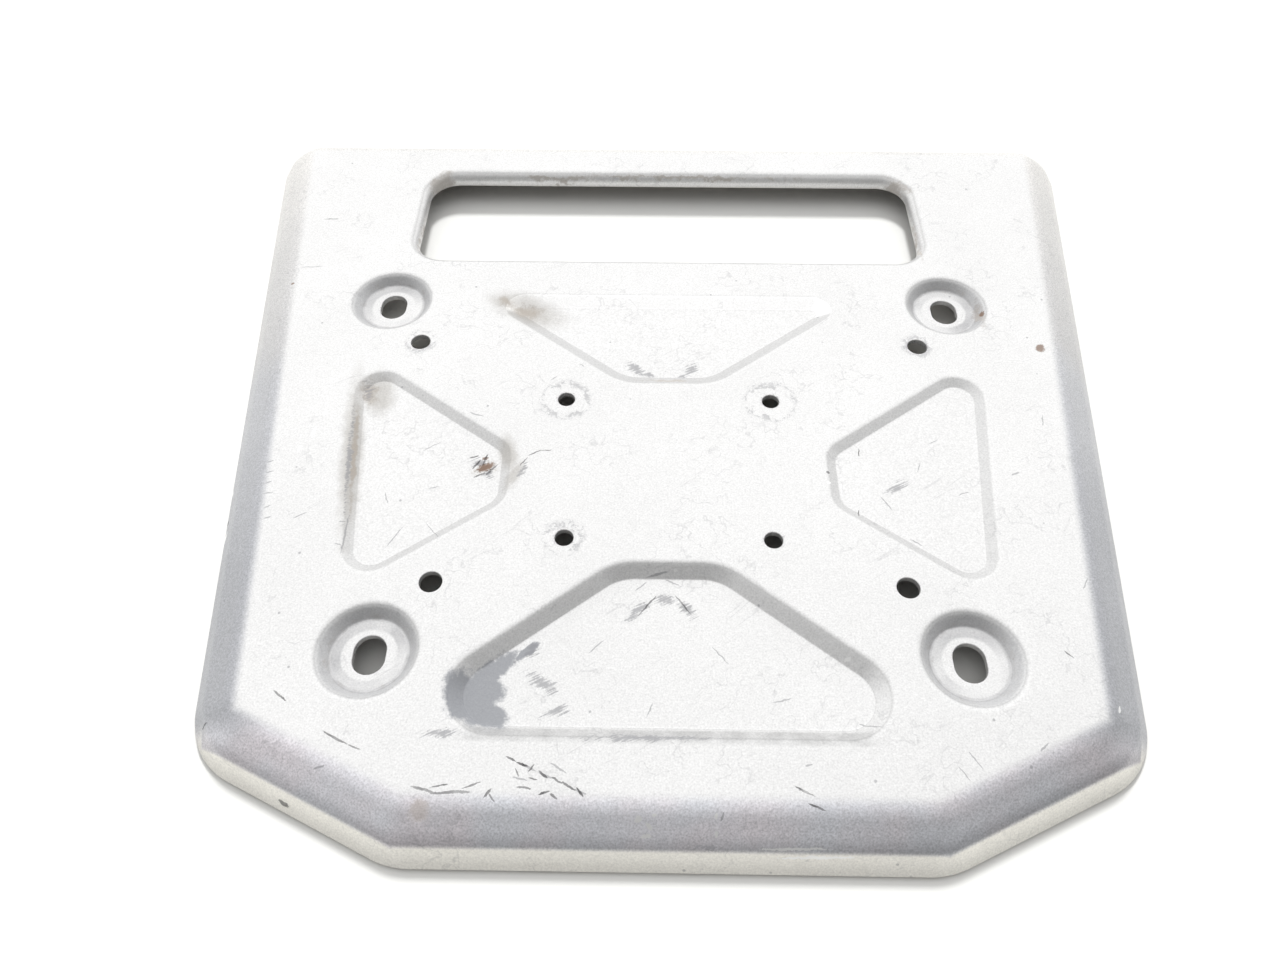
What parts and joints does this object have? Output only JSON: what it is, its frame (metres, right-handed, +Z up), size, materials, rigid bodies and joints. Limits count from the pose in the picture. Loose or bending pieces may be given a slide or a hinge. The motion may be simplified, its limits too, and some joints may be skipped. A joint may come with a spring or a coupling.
{
  "type": "motorcycle luggage rack",
  "caption": "Flat luggage rack plate pressed from silver-painted sheet steel, with a bent rim, shallow pockets, sunk bolt seats, bolt holes and a flanged hand slot.",
  "frame": {"origin": "under the middle of the plate's outline, on the surface that the trimmed edge of its rim stands on", "axes": "+X to the plate's right, +Y towards its wide rear edge with the hand slot, +Z up out of the top face"},
  "size_m": [0.3204, 0.293, 0.013],
  "materials": {
    "silver_paint": "silver metallic paint, satin, with chips, scuffs and clean rings where washers sat"
  },
  "bodies": {
    "root": {"rack_plate": "silver_paint"}
  },
  "joints": []
}
